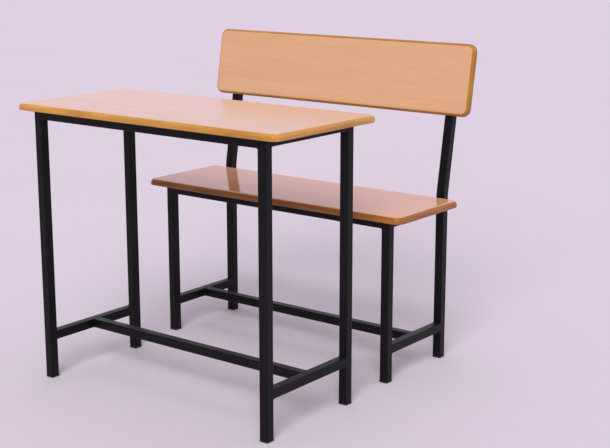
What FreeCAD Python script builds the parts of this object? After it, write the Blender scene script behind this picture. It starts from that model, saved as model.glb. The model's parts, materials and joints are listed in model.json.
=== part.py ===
import FreeCAD, Part
import math
import os

# School desk set: a writing desk, and a free-standing bench with a backrest behind it.
# Millimetres. X runs along the desk, Y from the desk towards the bench, Z up.

# Square steel tube that both frames are welded from, and the smaller one of the rails that lie
# behind a board's end or rear edge
TUBE = 25.0
SIDE_TUBE = 22.0
TUBE_WALL = 1.6
TUBE_CORNER = 2.5
BORE_CORNER = 1.0

# Laminated boards: a core with a solid-wood lipping round it, a sheet over both on each face,
# and the edge rounded over towards the face and just eased at the back
BOARD = 18.0
FACE_SHEET = 1.0
BACK_SHEET = 1.0
LIPPING = 18.0
EDGE_ROUND = 12.0
EDGE_EASE = 1.5
BOARD_CORNER = 24.0

# Desk frame and top
DESK_HEIGHT = 762.0
DESK_FRAME_LENGTH = 792.0
DESK_FRAME_DEPTH = 348.0
DESK_OVERHANG_LEFT = 41.0
DESK_OVERHANG_RIGHT = 54.0
DESK_OVERHANG_SIDES = 29.0
DESK_STRETCHER_HEIGHT = 106.0

# Bench frame and seat
SEAT_HEIGHT = 474.0
BENCH_FRAME_LENGTH = 810.0
BENCH_FRAME_DEPTH = 296.0
SEAT_OVERHANG_LEFT = 46.5
SEAT_OVERHANG_RIGHT = 55.5
SEAT_OVERHANG_FRONT = 34.0
SEAT_REAR_GAP = 1.5
REAR_RAIL_SETBACK = 30.0
BENCH_STRETCHER_HEIGHT = 80.0

# Leaning part of the uprights, and the backrest screwed to it.
# Rise, height and drop are measured along the lean.
LEAN_DEGREES = 9.6
BEND_ABOVE_SEAT = 6.0
BEND_RADIUS = 130.0
BACKREST_RISE = 221.0
BACKREST_HEIGHT = 202.0
BACKREST_OVERHANG_ENDS = 57.0
UPRIGHT_DROP = 23.0

# Where the bench stands: clear floor between the legs, and its offset along the desk
LEG_GAP = 178.0
BENCH_SIDE_SHIFT = -19.0

# Plastic plugs in the open tube ends: feet below, caps on the uprights
FOOT_FLANGE = 4.5
FOOT_RIM = 0.8
CAP_FLANGE = 3.0
PLUG_DEPTH = 16.0
PLUG_WALL = 2.0
PLUG_FIT = 0.15
PLUG_EDGE = 1.0

# Pan-head wood screws that hold the boards to the frames
SCREW_RADIUS = 2.1
SCREW_POINT = 5.0
SCREW_POINT_RADIUS = 0.4
SCREW_COVER = 6.0
HEAD_RADIUS = 4.2
HEAD_HEIGHT = 2.6
HEAD_ROUND = 1.6
RECESS_LENGTH = 4.6
RECESS_WIDTH = 1.0
RECESS_DEPTH = 1.4
HOLE_CLEARANCE = 0.4
PILOT_CLEARANCE = 0.05
PILOT_SPARE = 0.5
RAIL_SCREW_INSET = 110.0
BACKREST_SCREW_INSET = 45.0

# Sizes that follow from the ones above
TUBE_BORE = TUBE - 2 * TUBE_WALL
DESK_UNDERSIDE = DESK_HEIGHT - BOARD
SEAT_UNDERSIDE = SEAT_HEIGHT - BOARD
LEAN = math.radians(LEAN_DEGREES)

X_AXIS = FreeCAD.Vector(1, 0, 0)
Z_AXIS = FreeCAD.Vector(0, 0, 1)
LEAN_UP = FreeCAD.Vector(0, math.sin(LEAN), math.cos(LEAN))
LEAN_FRONT = FreeCAD.Vector(0, -math.cos(LEAN), math.sin(LEAN))
ENDS = (("left", -1), ("right", 1))
SIDES = (("front", -1), ("rear", 1))


def rounded_rectangle(length, width, radius):
    """Face of a rectangle with round corners, centred on the origin in the XY plane."""
    x = length / 2 - radius
    y = width / 2 - radius
    centres = ((x, y), (-x, y), (-x, -y), (x, -y))
    arcs = [Part.makeCircle(radius, FreeCAD.Vector(cx, cy, 0), Z_AXIS, 90 * quarter, 90 * quarter + 90)
            for quarter, (cx, cy) in enumerate(centres)]
    edges = []
    for arc, following in zip(arcs, arcs[1:] + arcs[:1]):
        edges.append(arc)
        edges.append(Part.makeLine(arc.lastVertex().Point, following.firstVertex().Point))
    return Part.Face(Part.Wire(edges))


def tube_section(side):
    """Ring-shaped face of a square tube, centred on the origin in the XY plane."""
    outside = rounded_rectangle(side, side, TUBE_CORNER)
    bore = rounded_rectangle(side - 2 * TUBE_WALL, side - 2 * TUBE_WALL, BORE_CORNER)
    return outside.cut(bore).Faces[0]


def drilled(shape, points, direction, radius, depth):
    """The shape with a round hole from each point along the direction."""
    holes = [Part.makeCylinder(radius, depth, point, direction) for point in points]
    return shape.cut(holes).Solids[0] if holes else shape


def straight_tube(start, end, side=TUBE, screw_points=()):
    """Tube whose centre line runs from start to end, drilled upwards for screws at the points."""
    run = end - start
    tube = tube_section(side).extrude(Z_AXIS * run.Length)
    tube.Placement = FreeCAD.Placement(start, FreeCAD.Rotation(Z_AXIS, run))
    return drilled(tube, screw_points, Z_AXIS, SCREW_RADIUS + HOLE_CLEARANCE, side)


def bent_tube(bottom, corner, top_length):
    """Upright tube that leans back past a bend.

    bottom and corner are heights on the centre line: its lower end, and where its two straight
    runs would cross. top_length is the run from that crossing to the upper end.
    """
    tangent = BEND_RADIUS * math.tan(LEAN / 2)
    section = tube_section(TUBE)
    section.translate(Z_AXIS * bottom)
    lower = section.extrude(Z_AXIS * (corner - tangent - bottom))
    section.translate(Z_AXIS * (corner - tangent - bottom))
    pivot = FreeCAD.Vector(0, BEND_RADIUS, corner - tangent)
    bend = section.revolve(pivot, -X_AXIS, LEAN_DEGREES)
    section.rotate(pivot, -X_AXIS, LEAN_DEGREES)
    upper = section.extrude(LEAN_UP * (top_length - tangent))
    return lower.fuse([bend, upper]).removeSplitter().Solids[0]


def tube_plug(flange, rim):
    """Plug with its flange on z = 0 and a hollow stem above it that fits the tube's bore."""
    side = TUBE + 2 * rim
    plate = rounded_rectangle(side, side, TUBE_CORNER + rim).extrude(Z_AXIS * flange)
    outer_edges = [edge for edge in plate.Edges if edge.BoundBox.ZMax < flange / 2]
    plate = plate.makeFillet(PLUG_EDGE, outer_edges)
    stem_side = TUBE_BORE - 2 * PLUG_FIT
    hollow_side = stem_side - 2 * PLUG_WALL
    stem = rounded_rectangle(stem_side, stem_side, BORE_CORNER)
    hollow = rounded_rectangle(hollow_side, hollow_side, BORE_CORNER)
    sleeve = stem.cut(hollow).Faces[0].extrude(Z_AXIS * PLUG_DEPTH)
    sleeve.translate(Z_AXIS * flange)
    return plate.fuse(sleeve).Solids[0]


def wood_screw(tube_side):
    """Pan-head screw through a tube of that side into a board, with a cross recess in its head.

    The shank goes up from the plane z = 0, and the head is below it.
    """
    head = Part.makeCylinder(HEAD_RADIUS, HEAD_HEIGHT, -Z_AXIS * HEAD_HEIGHT)
    rim = [edge for edge in head.Edges if edge.BoundBox.ZMax < -HEAD_HEIGHT / 2]
    head = head.makeFillet(HEAD_ROUND, rim)
    shank_length = tube_side + BOARD - SCREW_COVER - SCREW_POINT
    shank = Part.makeCylinder(SCREW_RADIUS, shank_length)
    point = Part.makeCone(SCREW_RADIUS, SCREW_POINT_RADIUS, SCREW_POINT, Z_AXIS * shank_length)
    slot = Part.makeBox(RECESS_LENGTH, RECESS_WIDTH, RECESS_DEPTH,
                        FreeCAD.Vector(-RECESS_LENGTH / 2, -RECESS_WIDTH / 2, -HEAD_HEIGHT))
    cross_slot = slot.copy()
    cross_slot.rotate(FreeCAD.Vector(), Z_AXIS, 90)
    return head.fuse([shank, point]).cut([slot, cross_slot]).Solids[0]


def screw_group(places, direction):
    """One screw at each place, a point for its head and the side of the tube that it goes through."""
    screws = []
    for point, tube_side in places:
        screw = wood_screw(tube_side)
        screw.Placement = FreeCAD.Placement(point, FreeCAD.Rotation(Z_AXIS, direction))
        screws.append(screw)
    return Part.makeCompound(screws)


def board_blank(length, depth):
    """Board on z = 0 with round corners, its edges rounded over above and eased below."""
    slab = rounded_rectangle(length, depth, BOARD_CORNER).extrude(Z_AXIS * BOARD)
    upper_rim = [edge for edge in slab.Edges if edge.BoundBox.ZMin > BOARD / 2]
    slab = slab.makeFillet(EDGE_ROUND, upper_rim)
    lower_rim = [edge for edge in slab.Edges if edge.BoundBox.ZMax < EDGE_EASE]
    return slab.makeFillet(EDGE_EASE, lower_rim)


def layer(length, depth, bottom, top):
    """Box of that length and depth, centred on the Z axis between two heights."""
    return Part.makeBox(length, depth, top - bottom, FreeCAD.Vector(-length / 2, -depth / 2, bottom))


def mitre_wedge(length, depth, turns):
    """Prism over one side of the ring, cut at 45 degrees: front, right, rear or left by turns."""
    side, across = (length, depth) if turns % 2 == 0 else (depth, length)
    outer = FreeCAD.Vector(side / 2, -across / 2, 0)
    inner = FreeCAD.Vector(side / 2 - LIPPING, LIPPING - across / 2, 0)
    corners = [outer, inner, FreeCAD.Vector(-inner.x, inner.y, 0), FreeCAD.Vector(-outer.x, outer.y, 0)]
    wedge = Part.Face(Part.makePolygon(corners + corners[:1])).extrude(Z_AXIS * BOARD)
    wedge.rotate(FreeCAD.Vector(), Z_AXIS, 90 * turns)
    return wedge


def laminated_board(name, length, depth, placement, screw_points, side_names):
    """Nodes of one board: core, face laminate, backing sheet and four mitred lippings.

    The board is made lying on z = 0 with its face up, with a pilot hole over each screw point, and
    is then placed. side_names are the lippings at its front, right, rear and left.
    """
    face_bottom = BOARD - FACE_SHEET
    blank = board_blank(length, depth)
    core = layer(length - 2 * LIPPING, depth - 2 * LIPPING, BACK_SHEET, face_bottom)
    backing = blank.common(layer(length, depth, 0, BACK_SHEET)).Solids[0]
    ring = blank.common(layer(length, depth, BACK_SHEET, face_bottom)).cut(core)
    pilot_radius = SCREW_RADIUS + PILOT_CLEARANCE
    pilot_depth = BOARD - SCREW_COVER + PILOT_SPARE
    pieces = {
        f"{name}_core": drilled(core, screw_points, Z_AXIS, pilot_radius, pilot_depth),
        f"{name}_laminate": blank.common(layer(length, depth, face_bottom, BOARD)).Solids[0],
        f"{name}_backing": drilled(backing, screw_points, Z_AXIS, pilot_radius, pilot_depth),
    }
    for turns, side_name in enumerate(side_names):
        pieces[f"{name}_lipping_{side_name}"] = ring.common(mitre_wedge(length, depth, turns)).Solids[0]
    for piece in pieces.values():
        piece.Placement = placement
    return pieces


def stretchers(name, centre, length, depth, height):
    """Nodes of the low H: two side stretchers between the legs, one long one between those."""
    z = height + TUBE / 2
    x = (length - TUBE) / 2
    y = depth / 2 - TUBE
    pieces = {}
    for end, sign in ENDS:
        pieces[f"{name}_stretcher_{end}"] = straight_tube(
            centre + FreeCAD.Vector(sign * x, -y, z), centre + FreeCAD.Vector(sign * x, y, z))
    inner = x - TUBE / 2
    pieces[f"{name}_stretcher_long"] = straight_tube(
        centre + FreeCAD.Vector(-inner, 0, z), centre + FreeCAD.Vector(inner, 0, z))
    return pieces


def rails(name, centre, length, depth, underside, rear_tube, rear_gap):
    """Nodes of the four rails under a board, and the places where its screws enter from below.

    The rails lie level with the outer faces of the legs. The rear rail, of the tube that it runs
    into, stands that gap in front of the frame's rear face.
    """
    screw_x = length / 2 - TUBE - RAIL_SCREW_INSET
    front_y = (TUBE - depth) / 2
    rear_y = (depth - rear_tube) / 2 - rear_gap
    pieces = {}
    places = []
    for side, y, tube in (("front", front_y, TUBE), ("rear", rear_y, rear_tube)):
        reach = FreeCAD.Vector(length / 2 - tube, 0, 0)
        middle = centre + FreeCAD.Vector(0, y, underside - tube / 2)
        points = [centre + FreeCAD.Vector(sign * screw_x, y, underside - tube) for _, sign in ENDS]
        pieces[f"{name}_rail_{side}"] = straight_tube(middle - reach, middle + reach, tube, points)
        places += [(point, tube) for point in points]
    reach = FreeCAD.Vector(0, depth / 2 - TUBE, 0)
    for end, sign in ENDS:
        x = sign * (length - SIDE_TUBE) / 2
        middle = centre + FreeCAD.Vector(x, 0, underside - SIDE_TUBE / 2)
        point = centre + FreeCAD.Vector(x, 0, underside - SIDE_TUBE)
        pieces[f"{name}_rail_{end}"] = straight_tube(middle - reach, middle + reach, SIDE_TUBE, [point])
        places.append((point, SIDE_TUBE))
    return pieces, places


def on_board(places, origin):
    """Screw points carried to a lying board's own frame, on its underside."""
    return [FreeCAD.Vector(point.x - origin.x, point.y - origin.y, 0) for point, _ in places]


def foot(position):
    plug = tube_plug(FOOT_FLANGE, FOOT_RIM)
    plug.translate(position)
    return plug


def make_desk():
    """Nodes of the desk, with its frame centred on the origin."""
    centre = FreeCAD.Vector()
    pieces, screw_places = rails("desk", centre, DESK_FRAME_LENGTH, DESK_FRAME_DEPTH, DESK_UNDERSIDE, TUBE, 0)
    pieces.update(stretchers("desk", centre, DESK_FRAME_LENGTH, DESK_FRAME_DEPTH, DESK_STRETCHER_HEIGHT))
    for side, sign_y in SIDES:
        for end, sign_x in ENDS:
            stand = FreeCAD.Vector(sign_x * (DESK_FRAME_LENGTH - TUBE) / 2,
                                   sign_y * (DESK_FRAME_DEPTH - TUBE) / 2, 0)
            pieces[f"desk_leg_{side}_{end}"] = straight_tube(
                stand + Z_AXIS * FOOT_FLANGE, stand + Z_AXIS * DESK_UNDERSIDE)
            pieces[f"desk_foot_{side}_{end}"] = foot(stand)
    origin = FreeCAD.Vector((DESK_OVERHANG_RIGHT - DESK_OVERHANG_LEFT) / 2, 0, DESK_UNDERSIDE)
    pieces.update(laminated_board(
        "desk_top", DESK_OVERHANG_LEFT + DESK_FRAME_LENGTH + DESK_OVERHANG_RIGHT,
        DESK_FRAME_DEPTH + 2 * DESK_OVERHANG_SIDES,
        FreeCAD.Placement(origin, FreeCAD.Rotation()), on_board(screw_places, origin),
        ("front", "right", "rear", "left")))
    pieces["desk_top_screws"] = screw_group(screw_places, Z_AXIS)
    return pieces


def make_seat(centre):
    """Nodes of the seat with its rails, in front of the uprights."""
    pieces, screw_places = rails("bench", centre, BENCH_FRAME_LENGTH, BENCH_FRAME_DEPTH, SEAT_UNDERSIDE,
                                 SIDE_TUBE, TUBE + REAR_RAIL_SETBACK)
    front = -BENCH_FRAME_DEPTH / 2 - SEAT_OVERHANG_FRONT
    rear = BENCH_FRAME_DEPTH / 2 - TUBE - SEAT_REAR_GAP
    origin = centre + FreeCAD.Vector((SEAT_OVERHANG_RIGHT - SEAT_OVERHANG_LEFT) / 2, (front + rear) / 2,
                                     SEAT_UNDERSIDE)
    pieces.update(laminated_board(
        "seat", SEAT_OVERHANG_LEFT + BENCH_FRAME_LENGTH + SEAT_OVERHANG_RIGHT, rear - front,
        FreeCAD.Placement(origin, FreeCAD.Rotation()), on_board(screw_places, origin),
        ("front", "right", "rear", "left")))
    pieces["seat_screws"] = screw_group(screw_places, Z_AXIS)
    return pieces


def make_backrest(centre):
    """Nodes of the two bent uprights with their caps, and of the backrest in front of them."""
    corner_height = SEAT_HEIGHT + BEND_ABOVE_SEAT
    top_length = BACKREST_RISE + BACKREST_HEIGHT - UPRIGHT_DROP
    upright_x = (BENCH_FRAME_LENGTH - TUBE) / 2
    upright_y = (BENCH_FRAME_DEPTH - TUBE) / 2
    screw_offset = BACKREST_HEIGHT / 2 - BACKREST_SCREW_INSET
    middle = BACKREST_RISE + BACKREST_HEIGHT / 2
    pieces = {}
    screw_places = []
    for end, sign in ENDS:
        stand = centre + FreeCAD.Vector(sign * upright_x, upright_y, 0)
        crossing = stand + Z_AXIS * corner_height
        points = [crossing + LEAN_UP * (middle + offset) - LEAN_FRONT * (TUBE / 2)
                  for offset in (-screw_offset, screw_offset)]
        upright = bent_tube(FOOT_FLANGE, corner_height, top_length)
        upright.translate(stand)
        pieces[f"bench_upright_{end}"] = drilled(
            upright, points, LEAN_FRONT, SCREW_RADIUS + HOLE_CLEARANCE, TUBE)
        cap = tube_plug(CAP_FLANGE, 0)
        cap.Placement = FreeCAD.Placement(crossing + LEAN_UP * (top_length + CAP_FLANGE),
                                          FreeCAD.Rotation(X_AXIS, 180 - LEAN_DEGREES))
        pieces[f"bench_upright_cap_{end}"] = cap
        pieces[f"bench_foot_rear_{end}"] = foot(stand)
        screw_places += [(point, TUBE) for point in points]
    origin = centre + FreeCAD.Vector(0, upright_y, corner_height) + LEAN_UP * middle + LEAN_FRONT * (TUBE / 2)
    board_points = [FreeCAD.Vector(sign * upright_x, offset, 0)
                    for _, sign in ENDS for offset in (-screw_offset, screw_offset)]
    pieces.update(laminated_board(
        "backrest", BENCH_FRAME_LENGTH + 2 * BACKREST_OVERHANG_ENDS, BACKREST_HEIGHT,
        FreeCAD.Placement(origin, FreeCAD.Rotation(X_AXIS, 90 - LEAN_DEGREES)), board_points,
        ("bottom", "right", "top", "left")))
    pieces["backrest_screws"] = screw_group(screw_places, LEAN_FRONT)
    return pieces


def make_bench():
    """Nodes of the bench, standing behind the desk."""
    centre = FreeCAD.Vector(BENCH_SIDE_SHIFT, (DESK_FRAME_DEPTH + BENCH_FRAME_DEPTH) / 2 + LEG_GAP, 0)
    pieces = stretchers("bench", centre, BENCH_FRAME_LENGTH, BENCH_FRAME_DEPTH, BENCH_STRETCHER_HEIGHT)
    for end, sign in ENDS:
        stand = centre + FreeCAD.Vector(sign * (BENCH_FRAME_LENGTH - TUBE) / 2,
                                        -(BENCH_FRAME_DEPTH - TUBE) / 2, 0)
        pieces[f"bench_leg_{end}"] = straight_tube(
            stand + Z_AXIS * FOOT_FLANGE, stand + Z_AXIS * SEAT_UNDERSIDE)
        pieces[f"bench_foot_front_{end}"] = foot(stand)
    pieces.update(make_seat(centre))
    pieces.update(make_backrest(centre))
    return pieces


# The origin is on the floor, under the middle of the whole set
nodes = {**make_desk(), **make_bench()}
extent = Part.makeCompound(list(nodes.values())).optimalBoundingBox(False, False)
to_origin = FreeCAD.Vector(-extent.Center.x, -extent.Center.y, 0)
os.makedirs("parts", exist_ok=True)
for node, shape in nodes.items():
    shape.translate(to_origin)
    shape.exportStep(f"parts/{node}.step")
print(f"{len(nodes)} nodes, {extent.XLength:.1f} x {extent.YLength:.1f} x {extent.ZLength:.1f} mm")
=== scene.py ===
"""School desk with its bench: finishes, boards, weld beads and studio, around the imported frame."""

import json
import math
from collections import namedtuple

import bmesh
import bpy
import numpy as np
from bpy.props import FloatProperty, FloatVectorProperty, IntProperty, PointerProperty
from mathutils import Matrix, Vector


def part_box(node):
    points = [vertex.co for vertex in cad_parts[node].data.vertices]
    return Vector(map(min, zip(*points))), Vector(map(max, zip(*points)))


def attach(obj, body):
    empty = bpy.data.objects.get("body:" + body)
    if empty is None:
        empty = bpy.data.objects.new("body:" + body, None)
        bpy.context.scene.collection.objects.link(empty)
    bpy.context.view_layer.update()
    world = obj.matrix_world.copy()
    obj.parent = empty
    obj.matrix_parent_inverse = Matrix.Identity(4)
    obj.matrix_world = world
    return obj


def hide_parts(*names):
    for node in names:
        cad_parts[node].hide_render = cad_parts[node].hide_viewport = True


bl_info = {
    "name": "School desk and bench",
    "version": (1, 0, 0),
    "blender": (4, 5, 0),
    "location": "View3D > Sidebar > School desk",
    "description": "Dresses a school desk and its bench, and stands them on a studio floor",
    "category": "Object",
}

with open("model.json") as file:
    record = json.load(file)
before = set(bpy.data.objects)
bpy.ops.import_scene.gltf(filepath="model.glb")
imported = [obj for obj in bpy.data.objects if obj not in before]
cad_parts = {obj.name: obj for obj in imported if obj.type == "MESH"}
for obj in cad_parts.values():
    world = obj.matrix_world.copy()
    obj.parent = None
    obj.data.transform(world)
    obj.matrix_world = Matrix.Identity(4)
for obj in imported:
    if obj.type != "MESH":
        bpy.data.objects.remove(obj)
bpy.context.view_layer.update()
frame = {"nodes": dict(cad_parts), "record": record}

SLOT_OF = {part["node"]: part["material_slot"] for part in frame["record"]["subparts"]}
BODY_OF = {node: body for body, nodes in frame["record"]["behaviour"]["bodies"].items() for node in nodes}

# The sides of each board, counter-clockwise from its front as seen from its face
BOARD_SIDES = {
    "desk_top": ("front", "right", "rear", "left"),
    "seat": ("front", "right", "rear", "left"),
    "backrest": ("bottom", "right", "top", "left"),
}

# Picture that the camera's focal length is counted in
PHOTO_WIDTH_PX = 610
PHOTO_FOCAL_PX = 1304.7
SENSOR_WIDTH_MM = 36.0

# Sockets of a Mix node for colours: its share and its two colours, and the result
MIX_SHARE, MIX_FROM, MIX_TO = 0, 6, 7
MIX_RESULT = 2

# One layer of a wood figure: noise of a size in millimetres along and across the grain, with its detail
# and twist, and the tint that it lays on the ground, none at its low level and the most at its high one
Layer = namedtuple("Layer", "size detail twist tint low high most")

# Printed beech and open-grained hardwood. Real streaks, flecks and pores are finer: here they are drawn
# as coarse as they need to be to show.
BEECH_PRINT = {
    "band": Layer((520, 34, 34), detail=2.0, twist=0.8, tint="#CC9468", low=0.36, high=0.68, most=0.30),
    "streak": Layer((190, 3.2, 3.2), detail=3.0, twist=0.3, tint="#C28A5E", low=0.42, high=0.72, most=0.22),
    "fleck": Layer((9, 1.1, 1.1), detail=1.0, twist=0.0, tint="#A87048", low=0.58, high=0.74, most=0.24),
}
OPEN_GRAIN = {
    "patch": Layer((140, 60, 60), detail=2.0, twist=0.6, tint="#CEB8C4", low=0.38, high=0.70, most=0.55),
    "streak": Layer((110, 1.9, 1.9), detail=4.0, twist=0.5, tint="#BEA2A8", low=0.42, high=0.70, most=0.55),
    "pore": Layer((7, 0.5, 0.5), detail=1.0, twist=0.0, tint="#766169", low=0.60, high=0.72, most=0.60),
}

# Grain map of the lippings, and the step along it from one strip to the next, so that no two look alike
GRAIN_MAP = "grain"
GRAIN_STEP = 1.37

# Edges that turn further than the angle stay sharp, points nearer than the distance become one, and
# tubes nearer than the touch meet
SMOOTH_ANGLE = math.radians(32)
MERGE_DISTANCE = 1e-6
TOUCH = 2e-4

QUARTER_TURN = math.pi / 2
EIGHTH_TURN = math.pi / 4

# The frame's axes as unit vectors, and the number of the upright one
AXES = np.eye(3)
UP = 2

# Weld beads: the powers that blunt their ends and flatten a fillet, and as shares of their size how deep
# a fillet is rooted, and how far a seam is shifted along its tube, stands proud and is rooted
BEAD_END_POWER = 8
FILLET_POWER = 1.4
FILLET_ROOT = 1 / 4
SEAM_SHIFT = 1 / 3
SEAM_RISE = 1 / 4
SEAM_ROOT = 1 / 2

# Where the studio's front fades into its back, and its walls into its ceiling, along a unit direction
BACK_FADE = (-0.4, 0.4)
TOP_FADE = (0.2, 0.8)

# A board's directions (along, across and up), the middle of its underside, and its sizes
Board = namedtuple("Board", "axes origin length depth thickness sheet lipping")

# A weld's middle, its direction, the ways along its tube and out of it, its kind and its length
Weld = namedtuple("Weld", "centre along inward outward kind length")


# Colours and nodes

def linear(hex_colour):
    """Linear RGB of an sRGB hex colour such as '#C98A45'."""
    srgb = np.array([int(hex_colour[i:i + 2], 16) for i in (1, 3, 5)]) / 255
    return np.where(srgb <= 0.04045, srgb / 12.92, ((srgb + 0.055) / 1.055) ** 2.4).tolist()


def rgba(colour):
    """A colour socket's value: a hex colour or three linear numbers, with full alpha."""
    return (*(linear(colour) if isinstance(colour, str) else colour), 1.0)


def cycles(*millimetres):
    """Repeats per metre of a pattern whose features measure that many millimetres."""
    return tuple(1000.0 / size for size in millimetres)


def add(tree, kind, inputs=None, **settings):
    """Adds a node with its settings, each input set to a value or linked to another node's output."""
    node = tree.nodes.new(kind)
    for name, value in settings.items():
        setattr(node, name, value)
    for name, value in (inputs or {}).items():
        if isinstance(value, bpy.types.NodeSocket):
            tree.links.new(value, node.inputs[name])
        else:
            node.inputs[name].default_value = value
    return node


def new_material(name):
    """An empty node material and its tree."""
    material = bpy.data.materials.new(name)
    material.use_nodes = True
    material.node_tree.nodes.clear()
    return material, material.node_tree


def wood_figure(tree, place, ground, layers, blend, strength=1.0):
    """Colour of a wood figure, laid over the ground layer by layer, and the noise of each layer.

    strength is the share of every tint that is laid.
    """
    shade = rgba(ground)
    noises = {}
    for name, layer in layers.items():
        stretched = add(tree, "ShaderNodeMapping", {"Vector": place, "Scale": cycles(*layer.size)})
        noises[name] = add(tree, "ShaderNodeTexNoise", {
            "Vector": stretched.outputs[0], "Scale": 1.0, "Detail": layer.detail,
            "Distortion": layer.twist}).outputs["Fac"]
        share = add(tree, "ShaderNodeMapRange", {
            "Value": noises[name], "From Min": layer.low, "From Max": layer.high,
            "To Max": layer.most * strength})
        shade = add(tree, "ShaderNodeMix", {
            MIX_SHARE: share.outputs[0], MIX_FROM: shade, MIX_TO: rgba(layer.tint)},
            data_type="RGBA", blend_type=blend).outputs[MIX_RESULT]
    return shade, noises


# Materials

def satin_black_enamel(colour):
    """Alkyd enamel sprayed on steel tube.

    A near-black skin with a satin sheen: the spray leaves a faint orange peel, the sheen is a little
    uneven, and a thin film of dust greys the faces that look up.
    """
    material, tree = new_material("satin_black_enamel")
    place = add(tree, "ShaderNodeTexCoord").outputs["Object"]
    cloud = add(tree, "ShaderNodeTexNoise", {"Vector": place, "Scale": cycles(70)[0], "Detail": 3.0})
    peel = add(tree, "ShaderNodeTexNoise", {"Vector": place, "Scale": cycles(2.4)[0], "Detail": 1.0})
    normal = add(tree, "ShaderNodeNewGeometry").outputs["Normal"]
    upward = add(tree, "ShaderNodeSeparateXYZ", {"Vector": normal}).outputs["Z"]
    dust = add(tree, "ShaderNodeMath", {0: upward, 1: cloud.outputs["Fac"]},
               operation="MULTIPLY", use_clamp=True)
    film = add(tree, "ShaderNodeMapRange", {"Value": dust.outputs[0], "To Max": 0.05})
    skin = add(tree, "ShaderNodeMix", {
        MIX_SHARE: film.outputs[0], MIX_FROM: rgba(colour), MIX_TO: rgba("#8C857F")}, data_type="RGBA")
    sheen = add(tree, "ShaderNodeMapRange", {
        "Value": cloud.outputs["Fac"], "From Min": 0.3, "From Max": 0.7, "To Min": 0.34, "To Max": 0.46})
    bump = add(tree, "ShaderNodeBump", {"Height": peel.outputs["Fac"], "Strength": 0.12, "Distance": 0.0002})
    shader = add(tree, "ShaderNodeBsdfPrincipled", {
        "Base Color": skin.outputs[MIX_RESULT], "Roughness": sheen.outputs[0], "IOR": 1.25,
        "Normal": bump.outputs[0]})
    add(tree, "ShaderNodeOutputMaterial", {"Surface": shader.outputs[0]})
    return material


def beech_print_laminate(board, colour, figure, roughness):
    """High-pressure laminate with a printed beech figure under a gloss overlay.

    Calm tan sheet: wide soft bands and finer streaks run along X, with the short dark flecks of beech.
    The overlay is glossy, or rubbed duller by use, and flat but for a faint waviness that bends
    its reflections. figure is the strength of the print.
    """
    material, tree = new_material(f"beech_print_laminate_{board}")
    place = add(tree, "ShaderNodeTexCoord").outputs["Object"]
    shade, noises = wood_figure(tree, place, colour, BEECH_PRINT, "MIX", figure)
    gloss = add(tree, "ShaderNodeMapRange", {
        "Value": noises["streak"], "From Min": 0.3, "From Max": 0.7, "To Min": 0.9 * roughness,
        "To Max": 1.1 * roughness})
    broad = add(tree, "ShaderNodeMapping", {"Vector": place, "Scale": cycles(260, 190, 190)})
    wave = add(tree, "ShaderNodeTexNoise", {"Vector": broad.outputs[0], "Scale": 1.0, "Detail": 0.0})
    bump = add(tree, "ShaderNodeBump", {"Height": wave.outputs["Fac"], "Strength": 0.3, "Distance": 0.0006})
    shader = add(tree, "ShaderNodeBsdfPrincipled", {
        "Base Color": shade, "Roughness": gloss.outputs[0], "IOR": 1.45, "Normal": bump.outputs[0]})
    add(tree, "ShaderNodeOutputMaterial", {"Surface": shader.outputs[0]})
    return material


def laminate_cut_edge_painted_highlight(board, colour):
    """Routed edge of the laminate: the tan paper core of the sheet, a little mottled, under the varnish. Its
    colour is paler than the face, which paints a highlight along the top of the rounding.
    """
    material, tree = new_material(f"laminate_cut_edge_{board}")
    place = add(tree, "ShaderNodeTexCoord").outputs["Object"]
    fibre = add(tree, "ShaderNodeTexNoise", {"Vector": place, "Scale": cycles(3)[0], "Detail": 4.0})
    shade = add(tree, "ShaderNodeMix", {
        MIX_SHARE: fibre.outputs["Fac"], MIX_FROM: rgba(colour), MIX_TO: rgba("#E0D0BC")},
        data_type="RGBA", blend_type="MULTIPLY")
    shader = add(tree, "ShaderNodeBsdfPrincipled", {
        "Base Color": shade.outputs[MIX_RESULT], "Roughness": 0.24, "IOR": 1.5})
    add(tree, "ShaderNodeOutputMaterial", {"Surface": shader.outputs[0]})
    return material


def varnished_hardwood(board, colour):
    """Solid golden hardwood, planed, rounded over and varnished.

    The grain follows each strip: broad light and dark patches, fine streaks and short open pores,
    which the varnish fills almost level and covers with a clear shine.
    """
    material, tree = new_material(f"varnished_hardwood_{board}")
    along = add(tree, "ShaderNodeUVMap", uv_map=GRAIN_MAP).outputs["UV"]
    shade, noises = wood_figure(tree, along, colour, OPEN_GRAIN, "MULTIPLY")
    bump = add(tree, "ShaderNodeBump", {"Height": noises["pore"], "Strength": 0.15, "Distance": 0.0001},
               invert=True)
    shader = add(tree, "ShaderNodeBsdfPrincipled", {
        "Base Color": shade, "Roughness": 0.22, "IOR": 1.5, "Normal": bump.outputs[0]})
    add(tree, "ShaderNodeOutputMaterial", {"Surface": shader.outputs[0]})
    return material


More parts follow.
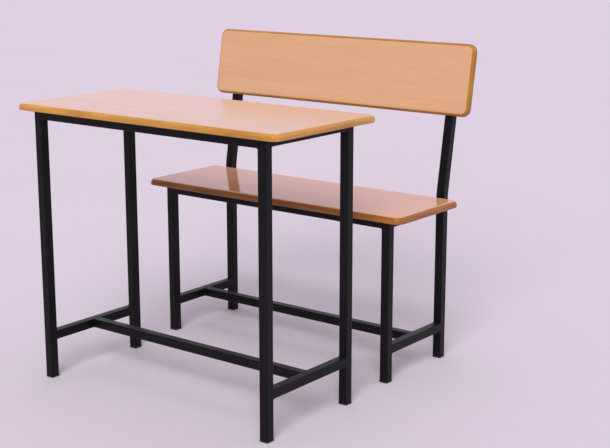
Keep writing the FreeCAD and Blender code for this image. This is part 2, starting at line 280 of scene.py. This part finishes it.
def kraft_backing_sheet():
    """Plain balancing sheet on the hidden face: matt brown resin paper with a cloudy, sanded look."""
    material, tree = new_material("kraft_backing_sheet")
    place = add(tree, "ShaderNodeTexCoord").outputs["Object"]
    cloud = add(tree, "ShaderNodeTexNoise", {"Vector": place, "Scale": cycles(55)[0], "Detail": 6.0})
    sanded = add(tree, "ShaderNodeMapping", {"Vector": place, "Scale": cycles(120, 0.8, 0.8)})
    scratch = add(tree, "ShaderNodeTexNoise", {"Vector": sanded.outputs[0], "Scale": 1.0, "Detail": 2.0})
    paper = add(tree, "ShaderNodeMix", {
        MIX_SHARE: cloud.outputs["Fac"], MIX_FROM: rgba("#A98460"), MIX_TO: rgba("#866446")},
        data_type="RGBA")
    lines = add(tree, "ShaderNodeMapRange", {
        "Value": scratch.outputs["Fac"], "From Min": 0.45, "From Max": 0.75, "To Max": 0.25})
    shade = add(tree, "ShaderNodeMix", {
        MIX_SHARE: lines.outputs[0], MIX_FROM: paper.outputs[MIX_RESULT], MIX_TO: rgba("#C4A482")},
        data_type="RGBA")
    bump = add(tree, "ShaderNodeBump", {
        "Height": scratch.outputs["Fac"], "Strength": 0.2, "Distance": 0.0001})
    shader = add(tree, "ShaderNodeBsdfPrincipled", {
        "Base Color": shade.outputs[MIX_RESULT], "Roughness": 0.6, "IOR": 1.5, "Normal": bump.outputs[0]})
    add(tree, "ShaderNodeOutputMaterial", {"Surface": shader.outputs[0]})
    return material


def particle_board():
    """Pressed wood chips in resin: pale flakes of mixed brown, each of one tone."""
    material, tree = new_material("particle_board")
    place = add(tree, "ShaderNodeTexCoord").outputs["Object"]
    chips = add(tree, "ShaderNodeTexVoronoi", {"Vector": place, "Scale": cycles(3.5)[0]})
    tone = add(tree, "ShaderNodeSeparateColor", {"Color": chips.outputs["Color"]})
    shade = add(tree, "ShaderNodeMix", {
        MIX_SHARE: tone.outputs[0], MIX_FROM: rgba("#C9A878"), MIX_TO: rgba("#8F6B42")}, data_type="RGBA")
    shader = add(tree, "ShaderNodeBsdfPrincipled", {
        "Base Color": shade.outputs[MIX_RESULT], "Roughness": 0.85})
    add(tree, "ShaderNodeOutputMaterial", {"Surface": shader.outputs[0]})
    return material


def moulded_black_polythene():
    """Injection-moulded polythene plug: dull black with the fine even texture of its mould, scuffed grey."""
    material, tree = new_material("moulded_black_polythene")
    place = add(tree, "ShaderNodeTexCoord").outputs["Object"]
    texture = add(tree, "ShaderNodeTexNoise", {"Vector": place, "Scale": cycles(0.6)[0], "Detail": 2.0})
    scuff = add(tree, "ShaderNodeTexNoise", {"Vector": place, "Scale": cycles(9)[0], "Detail": 5.0})
    worn = add(tree, "ShaderNodeMapRange", {
        "Value": scuff.outputs["Fac"], "From Min": 0.52, "From Max": 0.8, "To Max": 0.35})
    shade = add(tree, "ShaderNodeMix", {
        MIX_SHARE: worn.outputs[0], MIX_FROM: rgba("#151516"), MIX_TO: rgba("#4A4744")}, data_type="RGBA")
    bump = add(tree, "ShaderNodeBump", {
        "Height": texture.outputs["Fac"], "Strength": 0.2, "Distance": 0.0001})
    shader = add(tree, "ShaderNodeBsdfPrincipled", {
        "Base Color": shade.outputs[MIX_RESULT], "Roughness": 0.5, "IOR": 1.51, "Normal": bump.outputs[0]})
    add(tree, "ShaderNodeOutputMaterial", {"Surface": shader.outputs[0]})
    return material


def zinc_plated_steel():
    """Bright zinc plate on a rolled screw: silvery with a faint straw tint and small dull patches."""
    material, tree = new_material("zinc_plated_steel")
    place = add(tree, "ShaderNodeTexCoord").outputs["Object"]
    patch = add(tree, "ShaderNodeTexNoise", {"Vector": place, "Scale": cycles(2.5)[0], "Detail": 3.0})
    shade = add(tree, "ShaderNodeMix", {
        MIX_SHARE: patch.outputs["Fac"], MIX_FROM: rgba("#CFCBC0"), MIX_TO: rgba("#B3A98C")},
        data_type="RGBA")
    dull = add(tree, "ShaderNodeMapRange", {"Value": patch.outputs["Fac"], "To Min": 0.22, "To Max": 0.45})
    shader = add(tree, "ShaderNodeBsdfPrincipled", {
        "Base Color": shade.outputs[MIX_RESULT], "Metallic": 1.0, "Roughness": dull.outputs[0]})
    add(tree, "ShaderNodeOutputMaterial", {"Surface": shader.outputs[0]})
    return material


def matt_studio_floor(colour, bounce):
    """Matt painted floor of a studio: pale, with a trace of unevenness.

    The camera and reflections see it pale, and the light that it throws back up is that of a greyer floor.
    """
    material, tree = new_material("matt_studio_floor")
    place = add(tree, "ShaderNodeTexCoord").outputs["Object"]
    cloud = add(tree, "ShaderNodeTexNoise", {"Vector": place, "Scale": cycles(900)[0], "Detail": 4.0})
    share = add(tree, "ShaderNodeMapRange", {"Value": cloud.outputs["Fac"], "To Max": 0.08})
    paint = add(tree, "ShaderNodeMix", {
        MIX_SHARE: share.outputs[0], MIX_FROM: rgba(colour), MIX_TO: rgba("#A99FA8")}, data_type="RGBA")
    path = add(tree, "ShaderNodeLightPath")
    shade = add(tree, "ShaderNodeMix", {
        MIX_SHARE: path.outputs["Is Diffuse Ray"], MIX_FROM: paint.outputs[MIX_RESULT],
        MIX_TO: rgba(bounce)}, data_type="RGBA")
    shader = add(tree, "ShaderNodeBsdfPrincipled", {
        "Base Color": shade.outputs[MIX_RESULT], "Roughness": 0.8})
    add(tree, "ShaderNodeOutputMaterial", {"Surface": shader.outputs[0]})
    return material


# Meshes and objects

def ring_quads(rings, around):
    """Quads between neighbours on a row of closed rings of points, stored ring after ring."""
    ring, place = np.meshgrid(np.arange(rings - 1), np.arange(around), indexing="ij")
    following = (place + 1) % around
    corners = (ring * around + place, (ring + 1) * around + place,
               (ring + 1) * around + following, ring * around + following)
    return np.stack(corners, -1).reshape(-1, 4)


def capped_rings(rings, around):
    """Quads on a row of closed rings, followed by the two faces that close its first and last ring."""
    first = np.arange(around)
    return [*ring_quads(rings, around), first, first + (rings - 1) * around]


def distance_along(points, axis):
    """How far each point of a grid lies from the first one along that axis."""
    steps = np.linalg.norm(np.diff(points, axis=axis), axis=-1)
    return np.cumsum(np.insert(steps, 0, 0, axis=axis), axis=axis)


def new_object(name, data):
    """A new object in the scene, for a mesh, a lamp or a camera."""
    made = bpy.data.objects.new(name, data)
    bpy.context.scene.collection.objects.link(made)
    return made


def make_piece(name, points, faces, materials, body, slot, replaced=(), grain=None, edge_faces=()):
    """Builds a piece from points and faces, closes it, turns it outwards and rides it on its body.

    grain gives each point its place on the grain map, and edge_faces take the second material.
    """
    mesh = bpy.data.meshes.new(name)
    mesh.from_pydata(points.tolist(), [], [list(face) for face in faces])
    for material in materials:
        mesh.materials.append(material)
    if len(edge_faces):
        indices = np.zeros(len(mesh.polygons), np.int32)
        indices[edge_faces] = 1
        mesh.polygons.foreach_set("material_index", indices)
    if grain is not None:
        owner = np.empty(len(mesh.loops), np.int32)
        mesh.loops.foreach_get("vertex_index", owner)
        mesh.uv_layers.new(name=GRAIN_MAP).data.foreach_set("uv", grain[owner].astype(np.float32).ravel())
    shell = bmesh.new()
    shell.from_mesh(mesh)
    bmesh.ops.remove_doubles(shell, verts=shell.verts, dist=MERGE_DISTANCE)
    bmesh.ops.recalc_face_normals(shell, faces=shell.faces)
    shell.to_mesh(mesh)
    shell.free()
    mesh.shade_smooth()
    mesh.set_sharp_from_angle(angle=SMOOTH_ANGLE)
    piece = new_object(name, mesh)
    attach(piece, body)
    if replaced:
        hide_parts(*replaced)


def finish_nodes(slot, material):
    """Gives every CAD node of a slot that finish."""
    for node, node_slot in SLOT_OF.items():
        if node_slot == slot:
            frame["nodes"][node].data.materials[0] = material


# Boards

def node_points(*nodes):
    """Vertices of CAD nodes at rest, one row each."""
    blocks = []
    for node in nodes:
        vertices = frame["nodes"][node].data.vertices
        flat = np.empty(3 * len(vertices))
        vertices.foreach_get("co", flat)
        blocks.append(flat.reshape(-1, 3))
    return np.concatenate(blocks)


def read_board(name):
    """Measures a board on its CAD nodes: its axes, the middle of its underside, and its sizes.

    The board's length runs along X, its height along the normal of its laminate, from the backing
    to the face, and its depth along the cross product of the two.
    """
    face, back = f"{name}_laminate", f"{name}_backing"
    largest = max(frame["nodes"][face].data.polygons, key=lambda polygon: polygon.area)
    up = np.array(largest.normal)
    up *= np.sign((node_points(face).mean(0) - node_points(back).mean(0)) @ up)
    along = AXES[0]
    axes = np.stack([along, np.cross(up, along), up])
    strips = [f"{name}_lipping_{side}" for side in BOARD_SIDES[name]]
    whole = node_points(face, back, *strips) @ axes.T
    low, high = whole.min(0), whole.max(0)
    sheet = np.ptp(node_points(face) @ up)
    lipping = np.ptp(node_points(strips[0]) @ axes[1])
    origin = np.array([*(low + high)[:2] / 2, low[2]]) @ axes
    return Board(axes, origin, *(high - low), sheet, lipping)


def on_board(board, flat, height):
    """Points of a board in the frame, from their places on its underside and their heights above it."""
    local = np.concatenate([flat, np.broadcast_to(height, flat.shape[:2])[..., None]], -1)
    return local @ board.axes + board.origin


def edge_arc(radius, from_depth, to_depth, steps):
    """Arc that rounds a board's edge: how far inside the edge, and how deep below the face, it lies.

    The arc is part of a quarter circle, which leaves the face at depth 0 and runs into the edge at the
    depth of its radius.
    """
    start, end = (math.asin(1 - depth / radius) for depth in (from_depth, to_depth))
    angle = np.linspace(start, end, steps)
    return radius * (1 - np.cos(angle)), radius * (1 - np.sin(angle))


def face_laminate(board, settings):
    """Points and faces of the laminate sheet, and which of the faces are its routed edge.

    The edge profile, the upper part of the rounding, is carried round the board's outline: four quarter
    circles about the corner centres, joined by straight sides. A flat face closes the top and one the
    bottom.
    """
    inset, depth = edge_arc(settings.edge_round, 0, board.sheet, settings.arc_steps)
    turn = np.linspace(0, QUARTER_TURN, settings.arc_steps)
    angle = (turn + np.arange(4)[:, None] * QUARTER_TURN).ravel()
    outward = np.stack([np.cos(angle), np.sin(angle)], -1)
    reach = np.array([board.length, board.depth]) / 2 - settings.corner_radius
    signs = np.array([[1, 1], [-1, 1], [-1, -1], [1, -1]])
    centre = np.repeat(signs * reach, settings.arc_steps, axis=0)
    flat = centre + (settings.corner_radius - inset)[:, None, None] * outward
    points = on_board(board, flat, (board.thickness - depth)[:, None])
    rings, around = flat.shape[:2]
    return points.reshape(-1, 3), capped_rings(rings, around), np.arange((rings - 1) * around)


def lipping_profile(board, settings):
    """Edge profile of a lipping, from the face down: how far inside the edge, and how high, it lies.

    It is the rounding below the face sheet, the upright edge, and the small rounding above the backing.
    """
    upper, below = edge_arc(settings.edge_round, board.sheet, settings.edge_round, settings.arc_steps)
    lower, above = edge_arc(settings.edge_ease, board.sheet, settings.edge_ease, settings.arc_steps)
    return np.concatenate([upper, lower[::-1]]), np.concatenate([board.thickness - below, above[::-1]])


def lipping_path(board, side, settings):
    """Path of one lipping from mitre to mitre, seen with its side in front.

    The edge is an eighth of a circle round each corner centre, and the straight side between. Each point
    of the path has its corner centre, the direction out of that, and the place where the strip meets the
    core, which ends on the same mitres.
    """
    length, depth = (board.length, board.depth) if side % 2 == 0 else (board.depth, board.length)
    radius = settings.corner_radius
    first_turn = np.linspace(-EIGHTH_TURN, 0, settings.arc_steps)
    turn = np.concatenate([first_turn, -first_turn[::-1]])
    end = np.repeat([-1.0, 1.0], settings.arc_steps)
    centre = np.stack([end * (length / 2 - radius), np.full_like(end, radius - depth / 2)], -1)
    outward = np.stack([np.sin(turn), -np.cos(turn)], -1)
    share = 1 - np.abs(turn) / EIGHTH_TURN
    inner_x = end * (length / 2 - board.lipping - share * (radius - board.lipping))
    inner = np.stack([inner_x, np.full_like(end, board.lipping - depth / 2)], -1)
    return centre, outward, inner


def lipping_strip(board, side, settings):
    """Points and faces of one lipping, and each point's place on the grain map.

    The edge profile is carried along the path, and from it the strip runs in to the core. The last ring
    at each mitre is eased inwards. The whole is then turned to its side of the board.
    """
    centre, outward, inner = lipping_path(board, side, settings)
    inset, height = lipping_profile(board, settings)
    ease = np.zeros(len(centre))
    ease[[0, -1]] = settings.mitre_ease
    reach = settings.corner_radius - inset - ease[:, None]
    outer = centre[:, None] + reach[..., None] * outward[:, None]
    flat = np.concatenate([outer, np.repeat(inner[:, None], 2, axis=1)], 1)
    section = np.concatenate([height, [board.sheet, board.thickness - board.sheet]])
    turned = side * QUARTER_TURN
    spin = np.array([[math.cos(turned), math.sin(turned)], [-math.sin(turned), math.cos(turned)]])
    points = on_board(board, flat @ spin, section)
    rings, around = flat.shape[:2]
    across = distance_along(points, 1)
    run = distance_along(points[:, around // 2], 0)
    grain = np.stack([np.broadcast_to(run[:, None], across.shape), across], -1)
    return points.reshape(-1, 3), capped_rings(rings, around), grain.reshape(-1, 2)


# Weld beads

def fillet_section(size, steps):
    """Section of a bead in the corner between two tubes: a superellipse quarter, rooted in the corner."""
    turn = np.linspace(0, QUARTER_TURN, steps)
    root = -FILLET_ROOT * size
    return (np.append(size * np.cos(turn) ** FILLET_POWER, root),
            np.append(size * np.sin(turn) ** FILLET_POWER, root))


def seam_section(size, steps):
    """Section of a bead over the groove of a flush joint: a low half ellipse, rooted in the groove."""
    turn = np.linspace(0, math.pi, steps)
    return (np.append(size * np.cos(turn), 0) - SEAM_SHIFT * size,
            np.append(SEAM_RISE * size * np.sin(turn), -SEAM_ROOT * size))


def weld_bead(weld, settings, phase):
    """Rings of points on one weld bead, closed to a point at both ends.

    The bead's section is carried along a straight line. A sine along the line swells and thins it, which
    gives the ripples, and so does the root of one less a high power of the distance from the middle,
    which falls to nothing at the ends.
    """
    run = np.linspace(-1, 1, settings.bead_rings)
    ripple = 1 + settings.ripple * np.sin(math.pi * weld.length / settings.ripple_pitch * run + phase)
    swell = ripple * np.sqrt(1 - run ** BEAD_END_POWER)
    shape = fillet_section if weld.kind == "fillet" else seam_section
    across, rise = shape(settings.bead_size, settings.bead_steps)
    section = across[:, None] * weld.inward + rise[:, None] * weld.outward
    line = (run * weld.length / 2)[:, None, None] * weld.along
    return weld.centre + line + swell[:, None, None] * section


def cross_axes(axis):
    """The two axes across a tube that runs along that one."""
    return [other for other in range(3) if other != axis]


def butts_on(box, other, axis, end):
    """Whether a tube's lower or upper end along an axis lies against a side of another tube."""
    touches = abs(other[1 - end][axis] - box[end][axis]) < TOUCH
    middle = box.mean(0)
    return touches and all(other[0][side] < middle[side] < other[1][side] for side in cross_axes(axis))


def joint_welds(box, other, axis, end, under_board):
    """Each weld round a tube's end that butts on another tube.

    A side of the tube that is level with the other tube has a seam, and a side that the other tube
    runs past has a fillet. A tube under a board has no weld on top.
    """
    inward = AXES[axis] if end == 0 else -AXES[axis]
    for side in cross_axes(axis):
        width_axis = sum(cross_axes(axis)) - side
        for face, sign in ((0, -1.0), (1, 1.0)):
            if under_board and side == UP and face == 1:
                continue
            centre = box.mean(0)
            centre[axis] = box[end][axis]
            centre[side] = box[face][side]
            beyond = sign * (other[face][side] - box[face][side])
            yield Weld(centre, AXES[width_axis], inward, sign * AXES[side],
                       "seam" if beyond < TOUCH else "fillet", np.ptp(box[:, width_axis]))


def frame_welds(tubes):
    """Each visible weld of a frame: where the end of a rail or a stretcher butts on another tube."""
    boxes = {tube: np.array([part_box(tube)[0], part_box(tube)[1]]) for tube in tubes}
    for tube, box in boxes.items():
        is_rail = "_rail_" in tube
        if not is_rail and "_stretcher_" not in tube:
            continue
        axis = int(np.argmax(np.ptp(box, axis=0)))
        for end in (0, 1):
            for other in boxes.values():
                if butts_on(box, other, axis, end):
                    yield from joint_welds(box, other, axis, end, under_board=is_rail)


# Stage

def studio_floor(settings):
    """Square floor under the object."""
    half = settings.floor_size / 2
    mesh = bpy.data.meshes.new("floor")
    mesh.from_pydata([(-half, -half, 0), (half, -half, 0), (half, half, 0), (-half, half, 0)], [],
                     [(0, 1, 2, 3)])
    mesh.materials.append(matt_studio_floor(settings.floor_colour, settings.floor_bounce))
    floor = new_object("floor", mesh)


def lamp_direction(settings):
    """Unit vector to the main lamp, from its angles above the floor and to the right of the front."""
    level = math.cos(settings.lamp_height)
    return Vector((level * math.sin(settings.lamp_turn), -level * math.cos(settings.lamp_turn),
                   math.sin(settings.lamp_height)))


def studio_world(settings):
    """World of the studio: the light that falls on the object, and the backdrop that is seen.

    The light is dim in front, paler behind the desk and palest above. The camera and reflections see the
    backdrop instead, which is greyer in front and has the soft face of the main lamp in it.
    """
    world = bpy.data.worlds.new("studio")
    world.use_nodes = True
    tree = world.node_tree
    tree.nodes.clear()
    direction = add(tree, "ShaderNodeTexCoord").outputs["Generated"]
    way = add(tree, "ShaderNodeSeparateXYZ", {"Vector": direction})
    behind = add(tree, "ShaderNodeMapRange", {
        "Value": way.outputs["Y"], "From Min": BACK_FADE[0], "From Max": BACK_FADE[1]},
        interpolation_type="SMOOTHSTEP").outputs[0]
    above = add(tree, "ShaderNodeMapRange", {
        "Value": way.outputs["Z"], "From Min": TOP_FADE[0], "From Max": TOP_FADE[1]},
        interpolation_type="SMOOTHSTEP").outputs[0]

    walls = add(tree, "ShaderNodeMix", {
        MIX_SHARE: behind, MIX_FROM: rgba(settings.front_light), MIX_TO: rgba(settings.back_light)},
        data_type="RGBA")
    room = add(tree, "ShaderNodeMix", {
        MIX_SHARE: above, MIX_FROM: walls.outputs[MIX_RESULT], MIX_TO: rgba(settings.top_light)},
        data_type="RGBA")
    light = add(tree, "ShaderNodeBackground", {"Color": room.outputs[MIX_RESULT]})

    cloth = add(tree, "ShaderNodeMix", {
        MIX_SHARE: behind, MIX_FROM: rgba(settings.front_backdrop), MIX_TO: rgba(settings.back_backdrop)},
        data_type="RGBA")
    backdrop = add(tree, "ShaderNodeBackground", {"Color": cloth.outputs[MIX_RESULT]})
    facing = add(tree, "ShaderNodeVectorMath", {0: direction, 1: lamp_direction(settings)},
                 operation="DOT_PRODUCT")
    gleam = add(tree, "ShaderNodeMapRange", {
        "Value": facing.outputs["Value"], "From Min": math.cos(settings.lamp_softness / 2), "From Max": 1.0,
        "To Max": settings.softbox_strength}, interpolation_type="SMOOTHSTEP")
    softbox = add(tree, "ShaderNodeBackground", {"Strength": gleam.outputs[0]})
    studio = add(tree, "ShaderNodeAddShader", {0: backdrop.outputs[0], 1: softbox.outputs[0]})

    path = add(tree, "ShaderNodeLightPath")
    mirrored = add(tree, "ShaderNodeMath", {
        0: path.outputs["Is Glossy Ray"], 1: path.outputs["Is Transmission Ray"]}, operation="ADD")
    seen = add(tree, "ShaderNodeMath", {0: path.outputs["Is Camera Ray"], 1: mirrored.outputs[0]},
               operation="ADD", use_clamp=True)
    sky = add(tree, "ShaderNodeMixShader", {
        0: seen.outputs[0], 1: light.outputs[0], 2: studio.outputs[0]})
    add(tree, "ShaderNodeOutputWorld", {"Surface": sky.outputs[0]})
    return world


def main_lamp(settings):
    """Soft main lamp.

    Reflections leave it out, because its disc would show there in hard white, and see the softbox of the
    backdrop in its place.
    """
    lamp = new_object("main_lamp", bpy.data.lights.new("main_lamp", "SUN"))
    lamp.data.energy = settings.lamp_strength
    lamp.data.angle = settings.lamp_softness
    lamp.visible_glossy = False
    lamp.rotation_euler = lamp_direction(settings).to_track_quat("Z", "Y").to_euler()


def photo_camera(settings):
    """Camera at the photograph's viewing angle, with its focal length."""
    camera = new_object("photo_camera", bpy.data.cameras.new("photo_camera"))
    camera.data.sensor_width = SENSOR_WIDTH_MM
    camera.data.lens = SENSOR_WIDTH_MM * PHOTO_FOCAL_PX / PHOTO_WIDTH_PX
    camera.location = settings.camera_place
    camera.rotation_euler = (QUARTER_TURN - settings.camera_tilt, 0, settings.camera_turn)
    return camera


# Settings

def colour_setting(name, description, hex_colour):
    """A colour whose default is an sRGB hex colour."""
    return FloatVectorProperty(name=name, description=description, default=linear(hex_colour),
                               subtype="COLOR", size=3)


def length_setting(name, description, metres, least=0.0):
    """A length in metres."""
    return FloatProperty(name=name, description=description, default=metres, min=least, unit="LENGTH")


def share_setting(name, description, share, most=1.0):
    """A share from 0 to 1, or to less than that."""
    return FloatProperty(name=name, description=description, default=share, min=0.0, max=most,
                         subtype="FACTOR")


def angle_setting(name, description, degrees):
    """An angle whose default is given in degrees."""
    return FloatProperty(name=name, description=description, default=math.radians(degrees), subtype="ANGLE")


class BoardSettings(bpy.types.PropertyGroup):
    """Sizes and colours of the three boards."""

    corner_radius: length_setting("Corner radius", "Radius of a board's corners, seen from its face",
                                  0.024, 0.019)
    edge_round: length_setting("Edge round", "Radius that rounds an edge over to the face", 0.012, 0.002)
    edge_ease: length_setting("Edge ease", "Radius that breaks an edge at the back", 0.0015, 0.0012)
    mitre_ease: length_setting("Mitre ease", "How far the edge of a mitre is rubbed back", 0.00015)
    arc_steps: IntProperty(name="Arc steps", description="Points on each arc of a board", default=13, min=3)

    # Paler than the seat and backrest: the lighter ground paints in a broad sheen on the desk top
    desk_top_face: colour_setting("Desk top", "Ground colour of the desk top's laminate", "#E5BBA0")
    desk_top_figure: share_setting("Desk top figure", "Strength of the print on the desk top", 0.45)
    desk_top_roughness: share_setting("Desk top roughness", "Roughness of the rubbed desk top", 0.18)
    # Cut edges are paler than their faces: partly the sheet's own edge, partly a painted highlight along the
    # rounding
    desk_top_cut: colour_setting("Desk top cut edge", "Edge of the desk top's laminate", "#EEC598")
    desk_top_wood: colour_setting("Desk top lipping", "Ground colour of the desk top's lipping", "#D69B44")

    # Redder and darker than the backrest's laminate: partly painted warm shade from the desk top over the
    # seat
    seat_face: colour_setting("Seat", "Ground colour of the seat's laminate", "#DBA27F")
    seat_figure: share_setting("Seat figure", "Strength of the print on the seat", 0.5)
    seat_roughness: share_setting("Seat roughness", "Roughness of the seat's glossy laminate", 0.09)
    # Paler than the seat's face: partly the sheet's own edge, partly a painted highlight along the rounding
    seat_cut: colour_setting("Seat cut edge", "Edge of the seat's laminate", "#E8B98E")
    # Darker and redder than the desk top's lipping: partly the strip's own tone, partly painted shade from
    # the desk top over the seat
    seat_wood: colour_setting("Seat lipping", "Ground colour of the seat's lipping", "#AC6B26")

    backrest_face: colour_setting("Backrest", "Ground colour of the backrest's laminate", "#DEAE87")
    backrest_figure: share_setting("Backrest figure", "Strength of the print on the backrest", 0.85)
    backrest_roughness: share_setting("Backrest roughness", "Roughness of the backrest's laminate", 0.09)
    # Paler than the backrest's face: partly the sheet's own edge, partly a painted highlight along the
    # rounding
    backrest_cut: colour_setting("Backrest cut edge", "Edge of the backrest's laminate", "#E6B587")
    backrest_wood: colour_setting("Backrest lipping", "Ground colour of the backrest's lipping", "#BA8236")


class FrameSettings(bpy.types.PropertyGroup):
    """Colour of the tube frames and sizes of their weld beads."""

    enamel_colour: colour_setting("Enamel", "Colour of the painted tubes", "#0C0C0E")
    bead_size: length_setting("Bead size", "Leg of a weld bead", 0.0022)
    ripple: share_setting("Ripple", "Share by which a bead swells and thins", 0.07, 0.5)
    ripple_pitch: length_setting("Ripple pitch", "Distance between ripples", 0.0022, 0.0005)
    bead_rings: IntProperty(name="Bead rings", description="Sections along a bead", default=45, min=5)
    bead_steps: IntProperty(name="Bead steps", description="Points across a bead", default=8, min=3)


class StageSettings(bpy.types.PropertyGroup):
    """Floor, light and camera."""

    floor_size: length_setting("Floor size", "Side of the floor", 60.0)
    floor_colour: colour_setting("Floor", "Colour of the studio floor", "#DACFDC")
    floor_bounce: colour_setting("Floor bounce", "Colour of the light off the floor", "#A8A0A6")
    back_backdrop: colour_setting("Far backdrop", "What is seen behind the bench", "#E1D6EC")
    front_backdrop: colour_setting("Near backdrop", "What is seen behind the camera", "#B0A6B4")
    front_light: colour_setting("Front light", "Dim light from the camera's side of the studio", "#605C60")
    back_light: colour_setting("Back light", "Light from the pale wall behind the desk", "#C4BAC9")
    top_light: colour_setting("Top light", "Light from the ceiling", "#D8D4D8")
    lamp_strength: FloatProperty(name="Lamp", description="Strength of the soft main lamp", default=2.62)
    lamp_softness: angle_setting("Lamp softness", "Angle that the main lamp fills, seen from the desk", 36)
    lamp_height: angle_setting("Lamp height", "Angle of the main lamp above the floor", 35)
    lamp_turn: angle_setting("Lamp turn", "Angle of the main lamp to the right of the front", 28)
    softbox_strength: FloatProperty(
        name="Softbox", description="Brightness of the lamp's face in reflections", default=6.0)
    camera_place: FloatVectorProperty(name="Camera", description="Where the camera stands",
                                      default=(2.2865, -2.7081, 1.2227), subtype="TRANSLATION", size=3)
    camera_turn: angle_setting("Camera turn", "Angle of the view to the left of the Y axis", 37.697)
    camera_tilt: angle_setting("Camera tilt", "Angle of the view below the horizon", 12.952)


# Operators

class SCHOOLDESK_OT_tubes(bpy.types.Operator):
    """Paints the tubes of both frames and lays the weld beads where they meet"""

    bl_idname = "school_desk.tubes"
    bl_label = "Paint and weld the frames"

    def execute(self, context):
        settings = context.scene.school_desk_frame
        enamel = satin_black_enamel(settings.enamel_colour)
        finish_nodes("frame_enamel", enamel)
        for body in ("desk", "bench"):
            tubes = [node for node in SLOT_OF if SLOT_OF[node] == "frame_enamel" and BODY_OF[node] == body]
            beads = [weld_bead(weld, settings, float(phase)) for phase, weld in enumerate(frame_welds(tubes))]
            rings, around = beads[0].shape[:2]
            one = ring_quads(rings, around)
            faces = np.concatenate([one + count * rings * around for count in range(len(beads))])
            make_piece(f"{body}_weld_beads", np.concatenate(beads).reshape(-1, 3), faces, [enamel], body,
                       "frame_enamel")
        return {"FINISHED"}


class SCHOOLDESK_OT_plugs(bpy.types.Operator):
    """Finishes the foot plugs and the caps of the uprights"""

    bl_idname = "school_desk.plugs"
    bl_label = "Finish the plugs"

    def execute(self, context):
        finish_nodes("plug_plastic", moulded_black_polythene())
        return {"FINISHED"}


class SCHOOLDESK_OT_screws(bpy.types.Operator):
    """Finishes the screws that hold the boards"""

    bl_idname = "school_desk.screws"
    bl_label = "Finish the screws"

    def execute(self, context):
        finish_nodes("screw_steel", zinc_plated_steel())
        return {"FINISHED"}


class SCHOOLDESK_OT_cores(bpy.types.Operator):
    """Finishes the cores and backing sheets of the boards"""

    bl_idname = "school_desk.cores"
    bl_label = "Finish the cores and backings"

    def execute(self, context):
        finish_nodes("board_core", particle_board())
        finish_nodes("backing_laminate", kraft_backing_sheet())
        return {"FINISHED"}


class SCHOOLDESK_OT_laminates(bpy.types.Operator):
    """Lays the beech laminate on the desk top, the seat and the backrest"""

    bl_idname = "school_desk.laminates"
    bl_label = "Lay the laminates"

    def execute(self, context):
        settings = context.scene.school_desk_boards
        for name in BOARD_SIDES:
            node = f"{name}_laminate"
            colour, figure, roughness, cut = (getattr(settings, f"{name}_{trait}")
                                              for trait in ("face", "figure", "roughness", "cut"))
            sheet = beech_print_laminate(name, colour, figure, roughness)
            # The pale cut edge paints a highlight along the top of the board's rounding
            cut_edge_highlight = laminate_cut_edge_painted_highlight(name, cut)
            points, faces, edge_faces = face_laminate(read_board(name), settings)
            make_piece(f"{name}_face", points, faces, [sheet, cut_edge_highlight], BODY_OF[node], SLOT_OF[node], [node],
                       edge_faces=edge_faces)
        return {"FINISHED"}


class SCHOOLDESK_OT_lippings(bpy.types.Operator):
    """Fits the mitred wood lippings, rounded over to the face, to the three boards"""

    bl_idname = "school_desk.lippings"
    bl_label = "Fit the lippings"

    def execute(self, context):
        settings = context.scene.school_desk_boards
        start = 0.0
        for name, sides in BOARD_SIDES.items():
            board = read_board(name)
            wood = varnished_hardwood(name, getattr(settings, f"{name}_wood"))
            for side, side_name in enumerate(sides):
                node = f"{name}_lipping_{side_name}"
                points, faces, grain = lipping_strip(board, side, settings)
                make_piece(f"{name}_edge_{side_name}", points, faces, [wood], BODY_OF[node], SLOT_OF[node],
                           [node], grain=grain + start)
                start += GRAIN_STEP
        return {"FINISHED"}


class SCHOOLDESK_OT_stage(bpy.types.Operator):
    """Sets the floor, the light and the camera"""

    bl_idname = "school_desk.stage"
    bl_label = "Set the stage"

    def execute(self, context):
        scene = context.scene
        settings = scene.school_desk_stage
        scene.view_settings.view_transform = "Standard"
        studio_floor(settings)
        scene.world = studio_world(settings)
        main_lamp(settings)
        scene.camera = photo_camera(settings)
        return {"FINISHED"}


class SCHOOLDESK_PT_panel(bpy.types.Panel):
    """Lists the steps and their settings"""

    bl_idname = "SCHOOLDESK_PT_panel"
    bl_label = "School desk"
    bl_space_type = "VIEW_3D"
    bl_region_type = "UI"
    bl_category = "School desk"

    def draw(self, context):
        for operator in OPERATORS:
            self.layout.operator(operator.bl_idname)
        for group, name in SETTINGS.items():
            box = self.layout.box()
            for setting in group.__annotations__:
                box.prop(getattr(context.scene, name), setting)


OPERATORS = (SCHOOLDESK_OT_tubes, SCHOOLDESK_OT_plugs, SCHOOLDESK_OT_screws, SCHOOLDESK_OT_cores,
             SCHOOLDESK_OT_laminates, SCHOOLDESK_OT_lippings, SCHOOLDESK_OT_stage)
SETTINGS = {BoardSettings: "school_desk_boards", FrameSettings: "school_desk_frame",
            StageSettings: "school_desk_stage"}


def register():
    for group, name in SETTINGS.items():
        bpy.utils.register_class(group)
        setattr(bpy.types.Scene, name, PointerProperty(type=group))
    for shown in (*OPERATORS, SCHOOLDESK_PT_panel):
        bpy.utils.register_class(shown)


def unregister():
    for shown in (SCHOOLDESK_PT_panel, *reversed(OPERATORS)):
        bpy.utils.unregister_class(shown)
    for group, name in SETTINGS.items():
        delattr(bpy.types.Scene, name)
        bpy.utils.unregister_class(group)


def main():
    register()
    bpy.ops.school_desk.tubes()
    bpy.ops.school_desk.plugs()
    bpy.ops.school_desk.screws()
    bpy.ops.school_desk.cores()
    bpy.ops.school_desk.laminates()
    bpy.ops.school_desk.lippings()
    bpy.ops.school_desk.stage()


if __name__ == "__main__":
    main()
